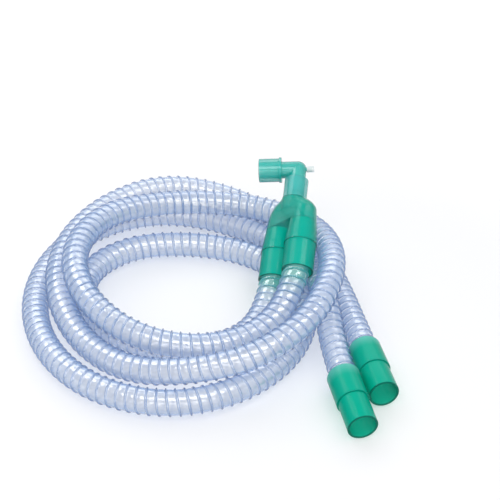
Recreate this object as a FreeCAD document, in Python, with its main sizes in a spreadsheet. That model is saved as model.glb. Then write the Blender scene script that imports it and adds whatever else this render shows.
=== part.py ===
# Breathing circuit: two ribbed hoses, a two-leg junction with a right-angle elbow, and push-on
# end connectors, laid in loose coils on a table. Millimetres, +Z up, table top at zero.
import FreeCAD, Part
import math
import os
import Sketcher

Vector = FreeCAD.Vector

doc = FreeCAD.newDocument("breathing_circuit")

# Driving dimensions
sizes = doc.addObject("Spreadsheet::Sheet", "sizes")
SIZE_TABLE = [
    ("hose_outer_radius", 12.0),
    ("hose_bore_radius", 10.0),
    ("airway_radius", 10.0),
    ("glue_gap", 0.3),
    ("hose_socket_gap", 0.4),
    ("cuff_mouth_gap", 0.8),
    ("edge_round", 0.5),
    ("grip_wall", 1.8),
    ("grip_length", 34.0),
    ("grip_round", 4.0),
    ("hose_socket_depth", 30.5),
    ("connector_nose_radius", 13.0),
    ("connector_length", 62.3),
    ("connector_step_round", 0.7),
    ("machine_port_radius", 11.1),
    ("wall_thickness", 1.3),
    ("neck_radius", 11.5),
    ("neck_straight", 1.0),
    ("neck_socket_radius", 10.3),
    ("neck_socket_depth", 12.0),
    ("neck_throat_radius", 9.0),
    ("neck_lip_thickness", 1.3),
    ("shoulder_middle", 7.9),
    ("shoulder_spread", 10.3),
    ("shoulder_radius", 11.2),
    ("shoulder_end", 14.5),
    ("leg_spread", 15.25),
    ("leg_root_radius", 10.9),
    ("leg_waist_radius", 12.4),
    ("leg_mouth_radius", 14.7),
    ("leg_airway_radius", 9.7),
    ("crotch_start", 20.0),
    ("waist_end", 28.4),
    ("leg_end", 51.8),
    ("leg_fit_gap", 0.4),
    ("cuff_airway_radius", 9.3),
    ("cuff_nose_wall", 1.3),
    ("cuff_length", 50.3),
    ("sleeve_radius", 10.9),
    ("sleeve_rise", 21.2),
    ("sleeve_airway", 6.8),
    ("elbow_leg_radius", 7.8),
    ("elbow_leg_bore", 6.4),
    ("elbow_leg_insert", 14.0),
    ("elbow_rise", 33.4),
    ("elbow_arm_radius", 7.8),
    ("elbow_arm_bore", 6.4),
    ("elbow_arm_insert", 4.4),
    ("port_offset", 14.8),
    ("port_length", 21.0),
    ("port_radius", 10.9),
    ("port_bore_radius", 7.6),
    ("port_collar_radius", 11.8),
    ("port_collar_width", 2.7),
    ("sample_stub_radius", 1.9),
    ("sample_stub_bore", 1.0),
    ("sample_cap_radius", 2.7),
    ("sample_cap_length", 6.7),
    ("sample_cap_hollow", 4.6),
    ("junction_yaw", 7.2),
    ("junction_tilt", 24.0),
    ("junction_roll", 45.0),
    ("elbow_droop", 1.8),
    ("elbow_lean", 5.3),
    ("front_connector_yaw", 13.2),
    ("front_connector_tilt", 4.4),
    ("rear_connector_yaw", 12.7),
    ("junction_across", 40.3),
    ("junction_along", -18.7),
    ("junction_height", 69.5),
    ("front_rim_across", 77.1),
    ("front_rim_along", -197.9),
    ("front_rim_height", 17.8),
    ("rear_rim_across", 97.2),
    ("rear_rim_along", -158.7),
    ("centre_across", 65.3),
    ("centre_along", -118.5),
]
for row, (alias, number) in enumerate(SIZE_TABLE, start=1):
    sizes.set("A%d" % row, alias)
    sizes.set("B%d" % row, str(number))
    sizes.setAlias("B%d" % row, alias)
doc.recompute()


def size(alias):
    """Number held by one cell of the sheet."""
    return float(getattr(sizes, alias))


def total(terms):
    """Sum of a few cells, written as 'one + two - three'."""
    result = 0.0
    sign = 1.0
    for word in terms.split():
        if word == "+":
            sign = 1.0
        elif word == "-":
            sign = -1.0
        else:
            result += sign * size(word)
    return result


def formula(terms):
    """The same sum as a document expression."""
    return " ".join(w if w in "+-" else "sizes." + w for w in terms.split())


def origin_plane(body, role):
    return [f for f in body.Origin.OriginFeatures if f.Role == role][0]


def new_sketch(body, name, role, lift=None):
    """Sketch on one of the body's own origin planes, lifted along the plane's normal."""
    sketch = body.newObject("Sketcher::SketchObject", name)
    sketch.AttachmentSupport = [(origin_plane(body, role), "")]
    sketch.MapMode = "FlatFace"
    if lift:
        sketch.setExpression("AttachmentOffset.Base.z", formula(lift))
    return sketch


def lean_sketch(sketch):
    """Turn a sketch on the elbow's side plane so that it faces along the leaning arm."""
    turned = FreeCAD.Rotation(Vector(1, 0, 0), -size("elbow_lean"))
    sketch.AttachmentOffset = FreeCAD.Placement(Vector(0, 0, 0), turned)


def bind(sketch, kind, geometry, point, terms, label):
    """Hold one coordinate of a sketch point at a sum of cells; None keeps it on the axis."""
    if terms is None:
        axis = -2 if kind == "DistanceX" else -1
        sketch.addConstraint(Sketcher.Constraint("PointOnObject", geometry, point, axis))
        return
    index = sketch.addConstraint(
        Sketcher.Constraint(kind, -1, 1, geometry, point, total(terms))
    )
    sketch.renameConstraint(index, label)
    sketch.setExpression("Constraints." + label, formula(terms))


def closed_profile(sketch, corners):
    """Straight-sided outline; each corner is a pair of sums of cells, across and up."""
    spots = [
        Vector(0 if a is None else total(a), 0 if b is None else total(b), 0) for a, b in corners
    ]
    count = len(spots)
    for i in range(count):
        sketch.addGeometry(Part.LineSegment(spots[i], spots[(i + 1) % count]))
    for i in range(count):
        sketch.addConstraint(Sketcher.Constraint("Coincident", i, 2, (i + 1) % count, 1))
    for i, (across, up) in enumerate(corners):
        bind(sketch, "DistanceX", i, 1, across, "across%d" % i)
        bind(sketch, "DistanceY", i, 1, up, "up%d" % i)


def circle_profile(sketch, radius, across=None):
    """Circle of a named radius, centred on the axis or moved across."""
    centre = Vector(total(across) if across else 0, 0, 0)
    sketch.addGeometry(Part.Circle(centre, Vector(0, 0, 1), total(radius)))
    bind(sketch, "DistanceX", 0, 3, across, "centre")
    bind(sketch, "DistanceY", 0, 3, None, "level")
    index = sketch.addConstraint(Sketcher.Constraint("Radius", 0, total(radius)))
    sketch.renameConstraint(index, "radius")
    sketch.setExpression("Constraints.radius", formula(radius))


def slot_profile(sketch, radius, spread):
    """Two half circles joined by straight sides, long way across."""
    r = total(radius)
    c = total(spread)
    up = Vector(0, 0, 1)
    right = Part.Circle(Vector(c, 0, 0), up, r)
    left = Part.Circle(Vector(-c, 0, 0), up, r)
    sketch.addGeometry(Part.ArcOfCircle(right, -math.pi / 2, math.pi / 2))
    sketch.addGeometry(Part.LineSegment(Vector(c, r, 0), Vector(-c, r, 0)))
    sketch.addGeometry(Part.ArcOfCircle(left, math.pi / 2, 3 * math.pi / 2))
    sketch.addGeometry(Part.LineSegment(Vector(-c, -r, 0), Vector(c, -r, 0)))
    sketch.addConstraint(Sketcher.Constraint("Tangent", 0, 2, 1, 1))
    sketch.addConstraint(Sketcher.Constraint("Tangent", 1, 2, 2, 1))
    sketch.addConstraint(Sketcher.Constraint("Tangent", 2, 2, 3, 1))
    sketch.addConstraint(Sketcher.Constraint("Tangent", 3, 2, 0, 1))
    sketch.addConstraint(Sketcher.Constraint("PointOnObject", 0, 3, -1))
    sketch.addConstraint(Sketcher.Constraint("Symmetric", 0, 3, 2, 3, -1, 1))
    index = sketch.addConstraint(Sketcher.Constraint("Radius", 0, r))
    sketch.renameConstraint(index, "radius")
    sketch.setExpression("Constraints.radius", formula(radius))
    index = sketch.addConstraint(Sketcher.Constraint("DistanceX", -1, 1, 0, 3, c))
    sketch.renameConstraint(index, "spread")
    sketch.setExpression("Constraints.spread", formula(spread))


def turn(body, name, corners, kind="PartDesign::Revolution"):
    """Solid or groove of revolution about the body's Z axis."""
    sketch = new_sketch(body, name + "_profile", "XZ_Plane")
    closed_profile(sketch, corners)
    feature = body.newObject(kind, name)
    feature.Profile = sketch
    feature.ReferenceAxis = (sketch, ["V_Axis"])
    feature.Angle = 360.0
    doc.recompute()
    return feature


def pull(body, name, sketch, length, kind="PartDesign::Pad", reverse=False):
    """Pad or pocket of one sketch by a named length."""
    feature = body.newObject(kind, name)
    feature.Profile = sketch
    feature.Length = total(length)
    feature.setExpression("Length", formula(length))
    feature.Reversed = reverse
    doc.recompute()
    return feature


def ring_edges(feature, radius, level):
    """Names of the circular edges of one radius at one height on the Z axis."""
    names = []
    for i, edge in enumerate(feature.Shape.Edges, start=1):
        curve = edge.Curve
        if not isinstance(curve, Part.Circle):
            continue
        if abs(curve.Radius - radius) > 0.01 or abs(curve.Center.z - level) > 0.01:
            continue
        if math.hypot(curve.Center.x, curve.Center.y) < 0.01:
            names.append("Edge%d" % i)
    return names


def soften(body, name, feature, spots, radius):
    """Fillet the ring edges at the given radius and height pairs."""
    names = []
    for ring_radius, level in spots:
        names += ring_edges(feature, ring_radius, level)
    fillet = body.newObject("PartDesign::Fillet", name)
    fillet.Base = (feature, names)
    fillet.Radius = total(radius)
    fillet.setExpression("Radius", formula(radius))
    doc.recompute()
    return fillet


def bore(body, name, radius, level, depth):
    """Round pocket on the body's axis, cut upwards from a level."""
    sketch = new_sketch(body, name + "_circle", "XY_Plane", level)
    circle_profile(sketch, radius)
    return pull(body, name, sketch, depth, "PartDesign::Pocket", True)


# Outside sizes that follow the hose
GRIP_RADIUS = "hose_outer_radius + hose_socket_gap + grip_wall"
CUFF_NOSE_RADIUS = "hose_outer_radius + cuff_mouth_gap + cuff_nose_wall"

# Layout on the table
CENTRE = Vector(size("centre_across"), size("centre_along"), 0)
JUNCTION_RIM = Vector(size("junction_across"), size("junction_along"), size("junction_height"))
FRONT_RIM = Vector(size("front_rim_across"), size("front_rim_along"), size("front_rim_height"))
REAR_RIM = Vector(size("rear_rim_across"), size("rear_rim_along"), total(GRIP_RADIUS))


def heading(yaw_degrees, tilt_degrees=0.0):
    """Direction towards the viewer, turned by a yaw and dipped by a tilt."""
    yaw = math.radians(yaw_degrees)
    tilt = math.radians(tilt_degrees)
    return Vector(math.sin(yaw) * math.cos(tilt), -math.cos(yaw) * math.cos(tilt), -math.sin(tilt))


def placed(base, across, along):
    """Placement whose X runs across and whose Z runs along the given directions."""
    rotation = FreeCAD.Rotation(across, along.cross(across), along, "ZXY")
    return FreeCAD.Placement(base - CENTRE, rotation)


junction_down = heading(-size("junction_yaw"), size("junction_tilt"))
junction_side = Vector(0, 0, 1).cross(junction_down)
junction_side.normalize()
junction_up = junction_down.cross(junction_side)
roll = math.radians(size("junction_roll"))
droop = math.radians(size("elbow_droop"))
legs_across = junction_side * math.cos(roll) + junction_up * math.sin(roll)
elbow_across = junction_side * -math.cos(droop) + junction_up * -math.sin(droop)
lean = math.radians(size("elbow_lean"))
arm_along = elbow_across * math.cos(lean) + junction_down * math.sin(lean)
arm_up = junction_down * math.cos(lean) - elbow_across * math.sin(lean)
front_down = heading(size("front_connector_yaw"), size("front_connector_tilt"))
rear_down = heading(size("rear_connector_yaw"))


# Machine-end connectors: a rounded grip over the hose and a straight nose with the port bore
def machine_connector(label, rim, direction):
    body = doc.addObject("PartDesign::Body", label)
    blank = turn(body, label + "_blank", [
        (None, None),
        (GRIP_RADIUS, None),
        (GRIP_RADIUS, "grip_length"),
        ("connector_nose_radius", "grip_length"),
        ("connector_nose_radius", "connector_length"),
        (None, "connector_length"),
    ])
    rounded = soften(body, label + "_shoulder", blank, [(total(GRIP_RADIUS), 0)], "grip_round")
    step_level = size("grip_length")
    step = [(total(GRIP_RADIUS), step_level)]
    stepped = soften(body, label + "_step", rounded, step, "connector_step_round")
    bore(body, label + "_hose_socket", "hose_outer_radius + hose_socket_gap", None,
         "hose_socket_depth")
    bore(body, label + "_airway", "airway_radius", None, "grip_length")
    mouth = bore(body, label + "_port", "machine_port_radius", "grip_length",
                 "connector_length - grip_length")
    rims = [
        (size("connector_nose_radius"), size("connector_length")),
        (size("machine_port_radius"), size("connector_length")),
    ]
    soften(body, label + "_mouth", mouth, rims, "edge_round")
    across = Vector(0, 0, 1).cross(direction)
    across.normalize()
    body.Placement = placed(rim, across, direction)
    return body


front_connector = machine_connector("front_machine_connector", FRONT_RIM, front_down)
rear_connector = machine_connector("rear_machine_connector", REAR_RIM, rear_down)


# Junction body: neck socket, sloping shoulders, a flat waist and two conical legs
junction = doc.addObject("PartDesign::Body", "junction_body")


def circle_at(name, radius, level, across=None):
    sketch = new_sketch(junction, name, "XY_Plane", level)
    circle_profile(sketch, radius, across)
    return sketch


def slot_at(name, radius, level, spread="leg_spread"):
    sketch = new_sketch(junction, name, "XY_Plane", level)
    slot_profile(sketch, radius, spread)
    return sketch


def loft(name, sections, kind="PartDesign::AdditiveLoft"):
    feature = junction.newObject(kind, name)
    feature.Profile = sections[0]
    feature.Sections = sections[1:]
    doc.recompute()
    return feature


def both_sides(name, features):
    """Copy of the right leg's features on the left."""
    mirrored = junction.newObject("PartDesign::Mirrored", name)
    mirrored.Originals = features
    mirrored.MirrorPlane = (origin_plane(junction, "YZ_Plane"), [""])
    junction.Tip = mirrored
    doc.recompute()


pull(junction, "neck", circle_at("neck_circle", "neck_radius", None), "neck_straight")
loft("shoulders", [
    circle_at("shoulder_top", "neck_radius", "neck_straight"),
    slot_at("shoulder_bulge", "shoulder_radius", "shoulder_middle", "shoulder_spread"),
    slot_at("shoulder_foot", "leg_root_radius", "shoulder_end"),
])
loft("waist", [
    slot_at("waist_top", "leg_root_radius", "shoulder_end"),
    slot_at("waist_foot", "leg_waist_radius", "waist_end"),
])
right_leg = loft("right_leg", [
    circle_at("right_leg_top", "leg_waist_radius", "waist_end", "leg_spread"),
    circle_at("right_leg_foot", "leg_mouth_radius", "leg_end", "leg_spread"),
])
both_sides("both_legs", [right_leg])
loft(
    "shoulder_hollow",
    [
        circle_at("hollow_top", "neck_radius - wall_thickness", "neck_straight + wall_thickness"),
        slot_at(
            "hollow_bulge",
            "shoulder_radius - wall_thickness",
            "shoulder_middle",
            "shoulder_spread",
        ),
        slot_at("hollow_foot", "leg_root_radius - wall_thickness", "shoulder_end"),
    ],
    "PartDesign::SubtractiveLoft",
)
pull(
    junction,
    "waist_hollow",
    slot_at("waist_hollow_slot", "leg_root_radius - wall_thickness", "shoulder_end"),
    "crotch_start - shoulder_end",
    "PartDesign::Pocket",
    True,
)
pull(
    junction,
    "inner_neck",
    circle_at("inner_neck_circle", "neck_radius", None),
    "neck_socket_depth + neck_lip_thickness",
)
pull(
    junction,
    "neck_socket",
    circle_at("neck_socket_circle", "neck_socket_radius", None),
    "neck_socket_depth",
    "PartDesign::Pocket",
    True,
)
pull(
    junction,
    "neck_throat",
    circle_at("neck_throat_circle", "neck_throat_radius", None),
    "neck_socket_depth + neck_lip_thickness",
    "PartDesign::Pocket",
    True,
)
right_airway = pull(
    junction,
    "right_airway",
    circle_at("right_airway_circle", "leg_airway_radius", "crotch_start", "leg_spread"),
    "waist_end - crotch_start",
    "PartDesign::Pocket",
    True,
)
right_socket = loft(
    "right_socket",
    [
        circle_at(
            "right_socket_top", "leg_waist_radius - wall_thickness", "waist_end", "leg_spread"
        ),
        circle_at(
            "right_socket_foot", "leg_mouth_radius - wall_thickness", "leg_end", "leg_spread"
        ),
    ],
    "PartDesign::SubtractiveLoft",
)
both_sides("both_sockets", [right_airway, right_socket])
junction.Placement = placed(JUNCTION_RIM, legs_across, junction_down)


# Leg cuffs: a cone glued inside each leg and a nose that takes the hose
def leg_cuff(label, side):
    body = doc.addObject("PartDesign::Body", label)
    shell = turn(body, label + "_shell", [
        ("cuff_airway_radius", None),
        ("leg_waist_radius - wall_thickness - leg_fit_gap", None),
        ("leg_mouth_radius - wall_thickness - leg_fit_gap", "leg_end - waist_end"),
        (CUFF_NOSE_RADIUS, "leg_end - waist_end"),
        (CUFF_NOSE_RADIUS, "cuff_length"),
        ("hose_outer_radius + cuff_mouth_gap", "cuff_length"),
        ("hose_outer_radius + cuff_mouth_gap", "leg_end - waist_end"),
        ("airway_radius", "leg_end - waist_end"),
    ])
    soften(
        body, label + "_edge", shell, [(total(CUFF_NOSE_RADIUS), size("cuff_length"))], "edge_round"
    )
    base = JUNCTION_RIM + legs_across * (side * size("leg_spread"))
    body.Placement = placed(base + junction_down * size("waist_end"), legs_across, junction_down)
    return body


upper_cuff = leg_cuff("upper_leg_cuff", 1)
lower_cuff = leg_cuff("lower_leg_cuff", -1)

# Sleeve glued in the neck; the elbow's leg pushes into it
sleeve = doc.addObject("PartDesign::Body", "neck_sleeve")
turn(sleeve, "neck_sleeve_shell", [
    ("elbow_leg_radius + glue_gap", None),
    ("sleeve_radius", None),
    ("sleeve_radius", "sleeve_rise"),
    ("neck_socket_radius - glue_gap", "sleeve_rise"),
    ("neck_socket_radius - glue_gap", "sleeve_rise + neck_socket_depth"),
    ("sleeve_airway", "sleeve_rise + neck_socket_depth"),
    ("sleeve_airway", "elbow_leg_insert"),
    ("elbow_leg_radius + glue_gap", "elbow_leg_insert"),
])
sleeve_base = JUNCTION_RIM - junction_down * size("sleeve_rise")
sleeve.Placement = placed(sleeve_base, legs_across, junction_down)

# Elbow: leg with a rounded heel, side arm, and a small sampling stub opposite the arm
elbow = doc.addObject("PartDesign::Body", "elbow")
turn(elbow, "elbow_leg", [
    (None, None),
    ("elbow_leg_radius", None),
    ("elbow_leg_radius", "elbow_rise - sleeve_rise + elbow_leg_insert"),
    (None, "elbow_rise - sleeve_rise + elbow_leg_insert"),
])
heel = elbow.newObject("PartDesign::AdditiveSphere", "elbow_heel")
heel.Radius = size("elbow_leg_radius")
heel.setExpression("Radius", formula("elbow_leg_radius"))
doc.recompute()
arm_circle = new_sketch(elbow, "arm_circle", "YZ_Plane")
lean_sketch(arm_circle)
circle_profile(arm_circle, "elbow_arm_radius")
pull(elbow, "arm", arm_circle, "port_offset + elbow_arm_insert")
stub_circle = new_sketch(elbow, "stub_circle", "YZ_Plane")
lean_sketch(stub_circle)
circle_profile(stub_circle, "sample_stub_radius")
pull(
    elbow,
    "sample_stub",
    stub_circle,
    "elbow_leg_radius + glue_gap + sample_cap_hollow",
    reverse=True,
)
leg_bore = new_sketch(elbow, "leg_bore_circle", "XY_Plane")
circle_profile(leg_bore, "elbow_leg_bore")
pull(
    elbow,
    "leg_bore",
    leg_bore,
    "elbow_rise - sleeve_rise + elbow_leg_insert",
    "PartDesign::Pocket",
    True,
)
hollow = elbow.newObject("PartDesign::SubtractiveSphere", "heel_hollow")
hollow.Radius = size("elbow_leg_bore")
hollow.setExpression("Radius", formula("elbow_leg_bore"))
doc.recompute()
arm_bore = new_sketch(elbow, "arm_bore_circle", "YZ_Plane")
lean_sketch(arm_bore)
circle_profile(arm_bore, "elbow_arm_bore")
pull(elbow, "arm_bore", arm_bore, "port_offset + elbow_arm_insert", "PartDesign::Pocket", True)
stub_bore = new_sketch(elbow, "stub_bore_circle", "YZ_Plane")
lean_sketch(stub_bore)
circle_profile(stub_bore, "sample_stub_bore")
pull(
    elbow,
    "stub_bore",
    stub_bore,
    "elbow_leg_radius + glue_gap + sample_cap_hollow",
    "PartDesign::Pocket",
    False,
)
elbow_corner = JUNCTION_RIM - junction_down * size("elbow_rise")
elbow.Placement = placed(elbow_corner, elbow_across, junction_down)

# Patient port: a collared tube with the wide outside and the narrow bore
port = doc.addObject("PartDesign::Body", "patient_port")
port_shell = turn(port, "patient_port_shell", [
    ("elbow_arm_radius + glue_gap", None),
    ("port_collar_radius", None),
    ("port_collar_radius", "port_collar_width"),
    ("port_radius", "port_collar_width"),
    ("port_radius", "port_length"),
    ("port_bore_radius", "port_length"),
    ("port_bore_radius", "elbow_arm_insert"),
    ("elbow_arm_radius + glue_gap", "elbow_arm_insert"),
])
soften(
    port,
    "patient_port_edges",
    port_shell,
    [
        (size("port_collar_radius"), 0),
        (size("port_collar_radius"), size("port_collar_width")),
        (size("port_radius"), size("port_length")),
        (size("port_bore_radius"), size("port_length")),
    ],
    "edge_round",
)
port_base = elbow_corner + arm_along * size("port_offset")
port.Placement = placed(port_base, arm_up, arm_along)

# Clear push-on cap over the sampling stub
cap = doc.addObject("PartDesign::Body", "sampling_cap")
cap_shell = turn(cap, "sampling_cap_shell", [
    ("sample_stub_radius + glue_gap", None),
    ("sample_cap_radius", None),
    ("sample_cap_radius", "sample_cap_length"),
    (None, "sample_cap_length"),
    (None, "sample_cap_hollow"),
    ("sample_stub_radius + glue_gap", "sample_cap_hollow"),
])
soften(
    cap,
    "sampling_cap_edge",
    cap_shell,
    [(size("sample_cap_radius"), size("sample_cap_length"))],
    "edge_round",
)
cap_base = elbow_corner - arm_along * total("elbow_leg_radius + glue_gap")
cap.Placement = placed(cap_base, arm_up, arm_along * -1)

# Hoses: plain tubes swept along straight runs joined by tangent arcs
UPPER_LAY = [
    (9, -160, 28), (-45, -181, 29), (-103, -168, 35), (-146, -125, 44), (-159, -68, 51),
    (-135, -14, 51), (-83, 18, 42), (-20, 26, 37), (36, 5, 37), (67, -39, 47), (75, -98, 56),
    (55, -161, 51), (12, -201, 42), (-45, -211, 31), (-104, -196, 19), (-149, -152, 18),
    (-173, -93, 28), (-168, -33, 34), (-135, 20, 38), (-84, 53, 38), (-26, 56, 26), (28, 29, 14),
    (64, -19, 12), (80, -76, 12),
]
LOWER_LAY = [
    (-4, -147, 12), (-58, -162, 12), (-114, -146, 12), (-150, -99, 12), (-149, -47, 12),
    (-108, -9, 12), (-44, -6, 12), (10, -26, 12), (43, -69, 12), (50, -126, 12), (28, -179, 12),
    (-14, -217, 12), (-70, -232, 12), (-131, -212, 12), (-174.5, -164, 12), (-194, -101, 12),
    (-186, -36, 12), (-152, 17, 12), (-95, 44, 13), (-33, 36, 12), (21, 0, 12), (55, -50, 28),
    (66, -111, 32),
]
LEAVE_CUFF = 20.0
ENTER_GRIP = 24.0
ARC_SHARE = 0.45


def hose_points(side, lay, rim, direction):
    """Corner points of one hose from its leg cuff to its machine connector."""
    axis = JUNCTION_RIM + legs_across * (side * size("leg_spread"))
    stop = size("leg_end")
    nose = total("cuff_length + waist_end - leg_end")
    points = [axis + junction_down * stop, axis + junction_down * (stop + nose + LEAVE_CUFF)]
    points += [Vector(*spot) for spot in lay]
    points += [rim - direction * ENTER_GRIP, rim + direction * size("hose_socket_depth")]
    return [point - CENTRE for point in points]


def hose_wire(points):
    """Straight runs joined by tangent arcs; returns the wire and the arc radii."""
    edges = []
    radii = []
    last = points[0]
    for i in range(1, len(points) - 1):
        back = points[i - 1] - points[i]
        ahead = points[i + 1] - points[i]
        trim = ARC_SHARE * min(back.Length, ahead.Length)
        back.normalize()
        ahead.normalize()
        half_turn = (math.pi - back.getAngle(ahead)) / 2
        radius = trim / math.tan(half_turn)
        inward = back + ahead
        inward.normalize()
        middle = points[i] + inward * (radius / math.cos(half_turn) - radius)
        start = points[i] + back * trim
        end = points[i] + ahead * trim
        edges.append(Part.LineSegment(last, start).toShape())
        edges.append(Part.Arc(start, middle, end).toShape())
        radii.append(radius)
        last = end
    edges.append(Part.LineSegment(last, points[-1]).toShape())
    return Part.Wire(edges), radii


def hose(label, side, lay, rim, direction):
    points = hose_points(side, lay, rim, direction)
    wire, radii = hose_wire(points)
    first = points[1] - points[0]
    outer = Part.Wire(Part.Circle(points[0], first, size("hose_outer_radius")).toShape())
    inner = Part.Wire(Part.Circle(points[0], first, size("hose_bore_radius")).toShape())
    tube = wire.makePipeShell([outer], True, False)
    bore = wire.makePipeShell([inner], True, False)
    shape = tube.cut(bore)
    feature = doc.addObject("Part::Feature", label)
    feature.Shape = shape
    ring = math.pi * (size("hose_outer_radius") ** 2 - size("hose_bore_radius") ** 2)
    print(label, "length %.1f" % wire.Length, "volume ratio %.4f" % (shape.Volume / ring / wire.Length))
    print(label, "arc radii", " ".join("%.0f" % r for r in radii))
    return feature


upper_hose = hose("upper_hose", 1, UPPER_LAY, REAR_RIM, rear_down)
lower_hose = hose("lower_hose", -1, LOWER_LAY, FRONT_RIM, front_down)

doc.recompute()

for item in doc.Objects:
    if "Invalid" in item.State or "Error" in item.State:
        raise RuntimeError("%s is %s" % (item.Label, item.State))

NODES = [
    junction, sleeve, elbow, port, cap, upper_cuff, lower_cuff, upper_hose, lower_hose,
    front_connector, rear_connector,
]
os.makedirs("parts", exist_ok=True)
for node in NODES:
    shape = node.Shape
    if shape.isNull() or not shape.isValid() or len(shape.Solids) != 1:
        raise RuntimeError("%s has no single valid solid" % node.Label)
    shape.exportStep("parts/%s.step" % node.Label)
    box = shape.BoundBox
    print(
        "%-26s volume %9.1f  x %.1f..%.1f  y %.1f..%.1f  z %.1f..%.1f"
        % (node.Label, shape.Volume, box.XMin, box.XMax, box.YMin, box.YMax, box.ZMin, box.ZMax)
    )
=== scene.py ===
import bpy
import math
import numpy as np
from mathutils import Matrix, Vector


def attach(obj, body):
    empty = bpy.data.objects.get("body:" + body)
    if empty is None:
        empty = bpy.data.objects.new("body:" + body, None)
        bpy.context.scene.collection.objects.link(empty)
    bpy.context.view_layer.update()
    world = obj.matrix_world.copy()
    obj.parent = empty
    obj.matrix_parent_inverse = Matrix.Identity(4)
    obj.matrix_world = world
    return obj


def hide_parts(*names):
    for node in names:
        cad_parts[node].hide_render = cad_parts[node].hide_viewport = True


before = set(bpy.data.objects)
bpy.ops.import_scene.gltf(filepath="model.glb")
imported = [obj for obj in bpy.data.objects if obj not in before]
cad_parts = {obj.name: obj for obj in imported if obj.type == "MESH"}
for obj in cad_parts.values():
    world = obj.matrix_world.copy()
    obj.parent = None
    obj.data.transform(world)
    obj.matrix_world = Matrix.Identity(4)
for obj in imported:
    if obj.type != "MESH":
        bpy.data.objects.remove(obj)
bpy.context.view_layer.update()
scene = bpy.context.scene

# Sizes in metres
MM = 0.001
CENTRE = Vector((65.3, -118.5, 0.0))
HOSE_WALL = 10.7 * MM
HOSE_BULGE = 0.22 * MM
RIB_TOP = 12.0 * MM
RIB_PITCH = 8.2 * MM
RIB_HALF_WIDTH = 0.9 * MM
STEPS_PER_TURN = 36
LINE_SAMPLES = 3000
PATH_STRIDE = 10

# Section of the rib: share of its half width, and share of its height
RIB_SECTION = [(-1.0, 0.0), (-0.8, 0.62), (-0.35, 1.0), (0.35, 1.0), (0.8, 0.62), (1.0, 0.0)]

# Points across the wall between two turns of the rib, as shares of its width
WALL_POINTS = [0.14, 0.3, 0.5, 0.7, 0.86]

# Steps and mouths in millimetres down each fitting from its rim
LEG_WAIST = 28.4
LEG_END = 51.8
CUFF_MOUTH = 78.7
GRIP_END = 34.0
CONNECTOR_MOUTH = 62.3

# Hose routes from the leg cuffs to the end connectors
UPPER_ROUTE = [
    (44.5, -71.4, 58.3), (39.2, -113.6, 39.3), (9, -160, 28), (-45, -181, 29), (-103, -168, 35),
    (-146, -125, 44), (-159, -68, 51), (-135, -14, 51), (-83, 18, 42), (-20, 26, 37), (36, 5, 37),
    (67, -39, 47), (75, -98, 56), (55, -161, 51), (12, -201, 42), (-45, -211, 31),
    (-104, -196, 19), (-149, -152, 18), (-173, -93, 28), (-168, -33, 34), (-135, 20, 38),
    (-84, 53, 38), (-26, 56, 26), (28, 29, 14), (64, -19, 12), (80, -76, 12),
    (91.9, -135.3, 14.2), (103.9, -188.5, 14.2),
]
LOWER_ROUTE = [
    (24.2, -59.9, 38.6), (18.9, -102.2, 19.6), (-4, -147, 12), (-58, -162, 12), (-114, -146, 12),
    (-150, -99, 12), (-149, -47, 12), (-108, -9, 12), (-44, -6, 12), (10, -26, 12), (43, -69, 12),
    (50, -126, 12), (28, -179, 12), (-14, -217, 12), (-70, -232, 12), (-131, -212, 12),
    (-174.5, -164, 12), (-194, -101, 12), (-186, -36, 12), (-152, 17, 12), (-95, 44, 13),
    (-33, 36, 12), (21, 0, 12), (55, -50, 28), (66, -111, 32), (71.6, -174.6, 19.6),
    (84, -227.5, 15.5),
]


def spot(x, y, z):
    """Point of the table layout, in metres from the row's origin."""
    return (Vector((x, y, z)) - CENTRE) * MM


def heading(turned, tipped):
    """Direction towards the viewer, turned about the upright and tipped down, in degrees."""
    turn, tip = math.radians(turned), math.radians(tipped)
    return Vector((math.sin(turn) * math.cos(tip), -math.cos(turn) * math.cos(tip), -math.sin(tip)))


def linked(name, data):
    obj = bpy.data.objects.new(name, data)
    scene.collection.objects.link(obj)
    return obj


# Hose meshes
def route_line(name, points):
    """Even samples of the smooth line that the route points steer."""
    curve = bpy.data.curves.new(name, "CURVE")
    curve.dimensions = "3D"
    curve.resolution_u = 24
    spline = curve.splines.new("NURBS")
    spline.points.add(len(points) - 1)
    for point, place in zip(spline.points, points):
        point.co = (*place, 1.0)
    spline.order_u = 3
    spline.use_endpoint_u = True
    holder = linked(name, curve)
    mesh = bpy.data.meshes.new_from_object(holder)
    line = np.array([v.co[:] for v in mesh.vertices])
    bpy.data.objects.remove(holder)
    bpy.data.meshes.remove(mesh)
    bpy.data.curves.remove(curve)
    return line


def measured(line):
    """Distance along a line at each of its points."""
    steps = np.linalg.norm(np.diff(line, axis=0), axis=1)
    return np.concatenate([[0.0], np.cumsum(steps)])


def line_at(line, along, where):
    """Values of a line at the given distances along it."""
    return np.stack([np.interp(where, along, line[:, k]) for k in range(3)], axis=1)


def carried_sides(centres):
    """Two directions across a line at each point, carried along it without twist."""
    forward = np.gradient(centres, axis=0)
    forward /= np.linalg.norm(forward, axis=1)[:, None]
    side = np.zeros_like(centres)
    first = np.cross(forward[0], [0.0, 0.0, 1.0])
    side[0] = first / np.linalg.norm(first)
    for i in range(1, len(centres)):
        move = side[i - 1] - forward[i] * np.dot(side[i - 1], forward[i])
        side[i] = move / np.linalg.norm(move)
    return side, np.cross(forward, side)


def strip_section():
    """Radius against the share of one pitch: a round rib, then a barrel-shaped wall panel."""
    half = RIB_HALF_WIDTH / RIB_PITCH
    shares = [half * place for place, _ in RIB_SECTION]
    radii = [HOSE_WALL + (RIB_TOP - HOSE_WALL) * height for _, height in RIB_SECTION]
    for place in WALL_POINTS:
        shares.append(half + (1 - 2 * half) * place)
        radii.append(HOSE_WALL + HOSE_BULGE * math.sin(math.pi * place))
    return shares, radii


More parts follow.
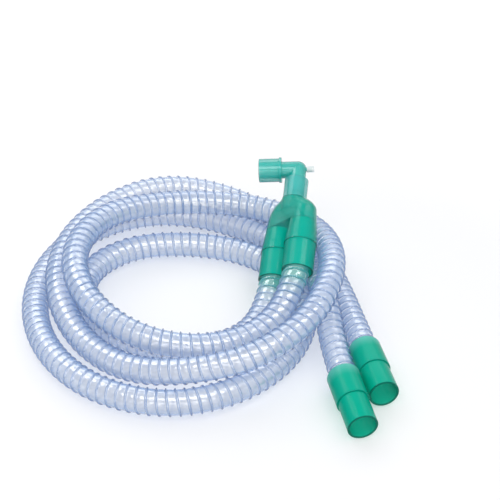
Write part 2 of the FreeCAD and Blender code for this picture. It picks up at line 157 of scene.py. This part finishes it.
def strip_points(centres, fine, length):
    """Points of the strip that winds down the hose: one row of its section at every step."""
    side, lift = carried_sides(centres)
    shares, radii = strip_section()
    turns = int(length / RIB_PITCH) + 2
    step = np.arange(turns * STEPS_PER_TURN + 1)
    angle = 2 * math.pi * step / STEPS_PER_TURN
    base = (step / STEPS_PER_TURN - 1.0) * RIB_PITCH
    grid = np.zeros((len(step), len(shares), 3))
    for k, (share, radius) in enumerate(zip(shares, radii)):
        where = np.clip(base + share * RIB_PITCH, 0.0, length)
        across = np.cos(angle)[:, None] * line_at(side, fine, where)
        upward = np.sin(angle)[:, None] * line_at(lift, fine, where)
        grid[:, k] = line_at(centres, fine, where) + radius * (across + upward)
    return grid


def strip_faces(count, rows):
    """Quads of the strip, joined to its next turn, with 1 for the rib's and 0 for the wall's."""
    rib_faces = len(RIB_SECTION) - 1
    faces = []
    kinds = []
    for i in range(count):
        for k in range(rows):
            here, onward = i * rows + k, (i + 1) * rows + k
            if k + 1 < rows:
                faces.append((here, onward, onward + 1, here + 1))
            elif i + STEPS_PER_TURN < count:
                next_turn = (i + STEPS_PER_TURN) * rows
                faces.append((here, onward, next_turn + rows, next_turn))
            else:
                continue
            kinds.append(1 if k < rib_faces else 0)
    return faces, kinds


def ribbed_hose(name, route):
    """A hose as one mesh wound from a strip: the rib is raised, the wall lies between its turns."""
    line = route_line(name + "_line", [spot(*p) for p in route])
    along = measured(line)
    length = along[-1]
    fine = np.linspace(0.0, length, LINE_SAMPLES)
    centres = line_at(line, along, fine)
    grid = strip_points(centres, fine, length)
    faces, kinds = strip_faces(grid.shape[0] - 1, grid.shape[1])
    mesh = bpy.data.meshes.new(name)
    mesh.from_pydata([tuple(v) for v in grid.reshape(-1, 3)], [], faces)
    mesh.update()
    hose = linked(name, mesh)
    mesh.polygons.foreach_set("use_smooth", [True] * len(faces))
    mesh.polygons.foreach_set("material_index", kinds)
    path = [tuple(p) for p in centres[::PATH_STRIDE]] + [tuple(centres[-1])]
    return hose, path, length


# Node helpers
def ranged(tree, source, low, high, start=0.0, stop=1.0, smooth=False):
    """Value that goes from low to high while source goes from start to stop."""
    node = tree.nodes.new("ShaderNodeMapRange")
    if smooth:
        node.interpolation_type = "SMOOTHSTEP"
    node.inputs["From Min"].default_value = start
    node.inputs["From Max"].default_value = stop
    node.inputs["To Min"].default_value = low
    node.inputs["To Max"].default_value = high
    tree.links.new(source, node.inputs["Value"])
    return node.outputs["Result"]


def combined(tree, operation, first, second):
    """Result of a Math node on two changing values."""
    node = tree.nodes.new("ShaderNodeMath")
    node.operation = operation
    tree.links.new(first, node.inputs[0])
    tree.links.new(second, node.inputs[1])
    return node.outputs["Value"]


def new_group(name, inputs, outputs):
    """Empty shader group with its named sockets, its entry and its exit."""
    tree = bpy.data.node_groups.new(name, "ShaderNodeTree")
    for label, kind in inputs:
        tree.interface.new_socket(label, in_out="INPUT", socket_type="NodeSocket" + kind)
    for label, kind in outputs:
        tree.interface.new_socket(label, in_out="OUTPUT", socket_type="NodeSocket" + kind)
    return tree, tree.nodes.new("NodeGroupInput"), tree.nodes.new("NodeGroupOutput")


def placed_group(material, group, values):
    """A group's node in a material, with this material's own values."""
    node = material.node_tree.nodes.new("ShaderNodeGroup")
    node.node_tree = group
    for label, value in values.items():
        node.inputs[label].default_value = value
    return node


# Shared effects
GRAIN_SCALE = 900.0
GRAIN_SHARE = 0.12
RIPPLE_DEPTH = 0.6 * MM


def build_ripple_group():
    """Slow waves and fine grain of moulded plastic: a normal and a mask for cloudiness."""
    tree, entry, leave = new_group(
        "moulded_ripple",
        [("Wave Scale", "Float"), ("Grain Scale", "Float"), ("Strength", "Float")],
        [("Normal", "Vector"), ("Cloud", "Float")],
    )
    place = tree.nodes.new("ShaderNodeTexCoord")
    wave = tree.nodes.new("ShaderNodeTexNoise")
    wave.inputs["Detail"].default_value = 2.0
    grain = tree.nodes.new("ShaderNodeTexNoise")
    grain.inputs["Detail"].default_value = 1.0
    mix = tree.nodes.new("ShaderNodeMath")
    mix.operation = "MULTIPLY_ADD"
    mix.inputs[1].default_value = GRAIN_SHARE
    bump = tree.nodes.new("ShaderNodeBump")
    bump.inputs["Distance"].default_value = RIPPLE_DEPTH
    link = tree.links.new
    link(place.outputs["Object"], wave.inputs["Vector"])
    link(place.outputs["Object"], grain.inputs["Vector"])
    link(entry.outputs["Wave Scale"], wave.inputs["Scale"])
    link(entry.outputs["Grain Scale"], grain.inputs["Scale"])
    link(grain.outputs["Fac"], mix.inputs[0])
    link(wave.outputs["Fac"], mix.inputs[2])
    link(mix.outputs["Value"], bump.inputs["Height"])
    link(entry.outputs["Strength"], bump.inputs["Strength"])
    link(bump.outputs["Normal"], leave.inputs["Normal"])
    link(wave.outputs["Fac"], leave.inputs["Cloud"])
    return tree


def build_closeness_group():
    """Masks of how close the surface is to a place: along one direction, and all round."""
    tree, entry, leave = new_group(
        "closeness",
        [("Middle", "Vector"), ("Direction", "Vector"), ("Full Within", "Float"),
         ("None Beyond", "Float"), ("Strength", "Float")],
        [("Ring", "Float"), ("Spot", "Float")],
    )
    place = tree.nodes.new("ShaderNodeTexCoord")
    offset = tree.nodes.new("ShaderNodeVectorMath")
    offset.operation = "SUBTRACT"
    along = tree.nodes.new("ShaderNodeVectorMath")
    along.operation = "DOT_PRODUCT"
    across = tree.nodes.new("ShaderNodeMath")
    across.operation = "ABSOLUTE"
    round_about = tree.nodes.new("ShaderNodeVectorMath")
    round_about.operation = "LENGTH"
    link = tree.links.new
    link(place.outputs["Object"], offset.inputs[0])
    link(entry.outputs["Middle"], offset.inputs[1])
    link(offset.outputs["Vector"], along.inputs[0])
    link(entry.outputs["Direction"], along.inputs[1])
    link(along.outputs["Value"], across.inputs[0])
    link(offset.outputs["Vector"], round_about.inputs[0])
    for source, label in ((across, "Ring"), (round_about, "Spot")):
        band = tree.nodes.new("ShaderNodeMapRange")
        band.interpolation_type = "SMOOTHSTEP"
        link(source.outputs["Value"], band.inputs["Value"])
        link(entry.outputs["None Beyond"], band.inputs["From Min"])
        link(entry.outputs["Full Within"], band.inputs["From Max"])
        link(entry.outputs["Strength"], band.inputs["To Max"])
        link(band.outputs["Result"], leave.inputs[label])
    return tree


RIPPLE = build_ripple_group()
CLOSENESS = build_closeness_group()


def shade_near(material, kind, marks, direction=(0.0, 0.0, 1.0)):
    """Mix painted shade, painted reflection and paler bands into a material's base colour, as rings
    across a direction or as spots round a place.

    Each mark has its middle, then in millimetres the distance of its full strength and
    the distance where it ends, its strength and its colour.
    """
    tree = material.node_tree
    base = tree.nodes["Principled BSDF"].inputs["Base Color"]
    for middle, full, none, strength, shade_colour in marks:
        close = placed_group(material, CLOSENESS, {
            "Middle": middle, "Direction": direction, "Full Within": full * MM,
            "None Beyond": none * MM, "Strength": strength,
        })
        mix = tree.nodes.new("ShaderNodeMix")
        mix.data_type = "RGBA"
        mix.inputs["B"].default_value = (*shade_colour, 1.0)
        tree.links.new(base.links[0].from_socket, mix.inputs["A"])
        tree.links.new(close.outputs[kind], mix.inputs["Factor"])
        tree.links.new(mix.outputs["Result"], base)


# Finishes
COAT_IOR = 2.0
COAT_GLOSS_SHARE = 0.5
SMOOTHEST_SHARE, ROUGHEST_SHARE = 0.7, 1.6
CLOUD_LOW, CLOUD_HIGH = 0.3, 0.7


def new_material(name):
    material = bpy.data.materials.new(name)
    material.use_nodes = True
    tree = material.node_tree
    return material, tree, tree.nodes["Principled BSDF"]


def see_through(tree, facing, front, edge, shade, inside):
    """Alpha of a clear wall: by its angle, for the light it stops, and seen from within."""
    rays = tree.nodes.new("ShaderNodeLightPath")
    geometry = tree.nodes.new("ShaderNodeNewGeometry")
    cover = ranged(tree, facing, front, edge)
    stopped = ranged(tree, rays.outputs["Is Shadow Ray"], 1.0, shade)
    far_wall = ranged(tree, geometry.outputs["Backfacing"], 1.0, inside)
    return combined(tree, "MULTIPLY", combined(tree, "MULTIPLY", cover, stopped), far_wall)


def plastic(
    name, thin, dense, front, edge, gloss, ior, shade,
    blend=0.38, waves=40.0, ripple=0.15, inside=1.0, coat=0.0,
):
    """Clear coloured plastic: see-through head on, denser where a wall is seen edge on.

    The share of light that a wall stops is set by shade, and inside is how strongly
    the far wall shows when it is seen from within.
    """
    material, tree, shader = new_material(name)
    shader.inputs["IOR"].default_value = ior
    shader.inputs["Coat Weight"].default_value = coat
    shader.inputs["Coat Roughness"].default_value = gloss * COAT_GLOSS_SHARE
    shader.inputs["Coat IOR"].default_value = COAT_IOR
    surface = placed_group(material, RIPPLE, {
        "Wave Scale": waves, "Grain Scale": GRAIN_SCALE, "Strength": ripple,
    })
    weight = tree.nodes.new("ShaderNodeLayerWeight")
    weight.inputs["Blend"].default_value = blend
    tint = tree.nodes.new("ShaderNodeMix")
    tint.data_type = "RGBA"
    tint.inputs["A"].default_value = (*thin, 1.0)
    tint.inputs["B"].default_value = (*dense, 1.0)
    alpha = see_through(tree, weight.outputs["Facing"], front, edge, shade, inside)
    rough = ranged(
        tree, surface.outputs["Cloud"], gloss * SMOOTHEST_SHARE, gloss * ROUGHEST_SHARE,
        CLOUD_LOW, CLOUD_HIGH,
    )
    link = tree.links.new
    link(surface.outputs["Normal"], shader.inputs["Normal"])
    link(weight.outputs["Facing"], tint.inputs["Factor"])
    link(tint.outputs["Result"], shader.inputs["Base Color"])
    link(alpha, shader.inputs["Alpha"])
    link(rough, shader.inputs["Roughness"])
    return material


hose_clear = plastic(
    "hose_clear_wall", (0.50, 0.56, 0.66), (0.09, 0.36, 0.84),
    front=0.54, edge=0.84, gloss=0.12, ior=2.6, shade=0.20,
    blend=0.45, waves=230.0, ripple=0.8, inside=0.8, coat=1.0,
)
hose_rib = plastic(
    "hose_blue_rib", (0.31, 0.49, 0.81), (0.01, 0.075, 0.28),
    front=0.38, edge=1.0, gloss=0.12, ior=1.7, shade=0.35,
    blend=0.6, waves=90.0, ripple=0.1, inside=0.85, coat=0.5,
)
green_body = plastic(
    "green_body", (0.0, 0.54, 0.42), (0.0, 0.24, 0.17),
    front=0.34, edge=0.95, gloss=0.10, ior=1.34, shade=0.15, blend=0.42,
)
green_cuff = plastic(
    "green_cuff", (0.0, 0.52, 0.40), (0.0, 0.22, 0.15),
    front=0.70, edge=0.95, gloss=0.10, ior=1.25, shade=0.2,
)
green_port = plastic(
    "green_port", (0.01, 0.58, 0.51), (0.0, 0.26, 0.21),
    front=0.56, edge=0.93, gloss=0.07, ior=1.6, shade=0.25, coat=0.2,
)
green_sleeve = plastic(
    "green_sleeve", (0.08, 0.60, 0.57), (0.0, 0.34, 0.30),
    front=0.45, edge=0.85, gloss=0.08, ior=1.5, shade=0.3,
)
clear_cap = plastic(
    "clear_cap_plastic", (0.93, 0.96, 0.96), (0.42, 0.58, 0.60),
    front=0.60, edge=0.95, gloss=0.10, ior=1.5, shade=0.3, blend=0.4, waves=60.0, ripple=0.1,
)

# Painted shade for the dark lines at rims and steps
PAINTED_RIM_SHADE = (0.0, 0.10, 0.07)
PAINTED_STEP_SHADE = (0.0, 0.15, 0.11)
# Paler green towards the connectors' rims
PALE_GREEN = (0.20, 0.62, 0.57)
# Painted reflection of the green leg mouths on the hoses
PAINTED_REFLECTION_GREEN = (0.06, 0.60, 0.48)


def connector_finish(name, rim, line):
    """Connector green, with painted shade as dark lines at the mouth and at the grip's end, and
    paler green towards the rim.
    """
    material = plastic(
        name, (0.0, 0.48, 0.33), (0.0, 0.29, 0.19),
        front=0.84, edge=0.97, gloss=0.10, ior=1.17, shade=0.12,
    )
    shade_near(material, "Ring", [
        (rim, 2.0, 15.0, 0.55, PALE_GREEN),
        (rim + line * GRIP_END * MM, 0.2, 0.7, 0.4, PAINTED_STEP_SHADE),
        (rim + line * CONNECTOR_MOUTH * MM, 0.3, 0.9, 0.8, PAINTED_RIM_SHADE),
    ], line)
    return material


front_green = connector_finish(
    "green_front_connector", spot(77.1, -197.9, 17.8), heading(13.2, 4.4)
)
rear_green = connector_finish(
    "green_rear_connector", spot(97.2, -158.7, 14.2), heading(12.7, 0.0)
)

# Painted shade: dark lines at the rims and steps of the junction, its cuffs and the patient port
neck_top = spot(40.3, -18.7, 69.5)
leg_line = heading(-7.2, 24.0)
shade_near(green_body, "Ring", [
    (neck_top, 0.2, 0.8, 0.6, PAINTED_STEP_SHADE),
    (neck_top + leg_line * LEG_WAIST * MM, 0.2, 0.7, 0.6, PAINTED_STEP_SHADE),
    (neck_top + leg_line * LEG_END * MM, 0.4, 1.1, 0.8, PAINTED_RIM_SHADE),
], leg_line)
cuff_mouth = neck_top + leg_line * CUFF_MOUTH * MM
shade_near(green_cuff, "Ring", [(cuff_mouth, 0.3, 1.0, 0.75, PAINTED_RIM_SHADE)], leg_line)
port_mouth = spot(8.46, 13.49, 80.72)
port_line = heading(-93.08, 3.79)
shade_near(green_port, "Ring", [(port_mouth, 0.2, 0.8, 0.5, PAINTED_STEP_SHADE)], port_line)

# Painted reflection: green that the two leg mouths throw on the hoses
LEG_MOUTHS = [spot(41.4, -95.8, 47.4), spot(21.1, -84.3, 27.7)]
for finish in (hose_clear, hose_rib):
    shade_near(finish, "Spot", [(place, 13.0, 23.0, 0.7, PAINTED_REFLECTION_GREEN) for place in LEG_MOUTHS])

# Hoses
for node, route in (("upper_hose", UPPER_ROUTE), ("lower_hose", LOWER_ROUTE)):
    hose, path, length = ribbed_hose(node + "_ribbed", route)
    hose.data.materials.append(hose_clear)
    hose.data.materials.append(hose_rib)
    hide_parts(node)
    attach(hose, "root")

# Moulded pieces
FINISHES = {
    "junction_body": green_body,
    "neck_sleeve": green_sleeve,
    "elbow": green_port,
    "patient_port": green_port,
    "sampling_cap": clear_cap,
    "upper_leg_cuff": green_cuff,
    "lower_leg_cuff": green_cuff,
    "front_machine_connector": front_green,
    "rear_machine_connector": rear_green,
}
for node, finish in FINISHES.items():
    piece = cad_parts[node]
    piece.data.materials.clear()
    piece.data.materials.append(finish)

# Table
TABLE_REACH = 6.0
TABLE_DROP = 0.4 * MM
WHITE_NEAR, WHITE_FAR = 0.04, 0.40
WHITE_STARTS, WHITE_IS_FULL = 0.18, 0.60


def white_table():
    """Matt white that the viewer and reflections see as white away from the object."""
    material, tree, shader = new_material("table_white")
    shader.inputs["Base Color"].default_value = (0.9, 0.9, 0.91, 1.0)
    shader.inputs["Roughness"].default_value = 0.6
    shader.inputs["Specular IOR Level"].default_value = 0.1
    shader.inputs["Emission Color"].default_value = (1.0, 1.0, 1.0, 1.0)
    rays = tree.nodes.new("ShaderNodeLightPath")
    place = tree.nodes.new("ShaderNodeTexCoord")
    distance = tree.nodes.new("ShaderNodeVectorMath")
    distance.operation = "LENGTH"
    tree.links.new(place.outputs["Object"], distance.inputs[0])
    white = ranged(
        tree, distance.outputs["Value"], WHITE_NEAR, WHITE_FAR,
        WHITE_STARTS, WHITE_IS_FULL, smooth=True,
    )
    seen = combined(tree, "ADD", rays.outputs["Is Camera Ray"], rays.outputs["Is Glossy Ray"])
    strength = combined(tree, "MULTIPLY", seen, white)
    tree.links.new(strength, shader.inputs["Emission Strength"])
    return material


corners = [(-1, -1), (1, -1), (1, 1), (-1, 1)]
table_mesh = bpy.data.meshes.new("table_top")
table_mesh.from_pydata(
    [(x * TABLE_REACH, y * TABLE_REACH, 0.0) for x, y in corners], [], [(0, 1, 2, 3)]
)
table_mesh.materials.append(white_table())
table = linked("table_top", table_mesh)
table.location.z = -TABLE_DROP

# Backdrop: white to the viewer and in reflections, softer as a source of light
BACKDROP_LIGHT = 0.33
world = bpy.data.worlds.new("studio")
scene.world = world
world.use_nodes = True
studio = world.node_tree
sky = studio.nodes["Background"]
sky.inputs["Color"].default_value = (0.97, 0.98, 1.0, 1.0)
rays = studio.nodes.new("ShaderNodeLightPath")
seen = combined(studio, "MAXIMUM", rays.outputs["Is Camera Ray"], rays.outputs["Is Glossy Ray"])
studio.links.new(ranged(studio, seen, BACKDROP_LIGHT, 1.0), sky.inputs["Strength"])


# Lamps
def softbox(name, place, width, height, power):
    """Soft lamp that faces the row's origin."""
    lamp = bpy.data.lights.new(name, "AREA")
    lamp.shape = "RECTANGLE"
    lamp.size = width
    lamp.size_y = height
    lamp.energy = power
    obj = linked(name, lamp)
    obj.location = place
    aim = Vector((0, 0, 0)) - Vector(place)
    obj.rotation_euler = aim.to_track_quat("-Z", "Y").to_euler()


softbox("overhead_front", (0.0, -0.56, 1.28), 1.3, 0.5, 8.0)
softbox("high_back", (0.0, 1.2, 1.0), 1.8, 0.5, 5.0)
softbox("left_panel", (-0.75, 0.55, 1.03), 0.5, 0.7, 3.5)
softbox("right_strip", (0.70, 0.13, 1.21), 0.25, 0.8, 3.0)
softbox("low_front", (0.0, -1.35, 0.85), 1.4, 0.3, 3.0)

# Camera, aimed at the middle of the layout
CAMERA_REACH = 1508.0
CAMERA_ELEVATION = math.radians(36.5)
camera_data = bpy.data.cameras.new("camera")
camera_data.lens = 115.2
camera_data.sensor_width = 36.0
camera_data.clip_end = 50.0
camera = linked("camera", camera_data)
camera.location = spot(
    0.0,
    -CAMERA_REACH * math.cos(CAMERA_ELEVATION),
    CAMERA_REACH * math.sin(CAMERA_ELEVATION),
)
camera.rotation_euler = (math.pi / 2 - CAMERA_ELEVATION, 0.0, 0.0)
scene.camera = camera

# Picture settings, with enough bounces for light to pass the many clear walls
scene.view_settings.view_transform = "Standard"
scene.cycles.max_bounces = 16
scene.cycles.transparent_max_bounces = 48
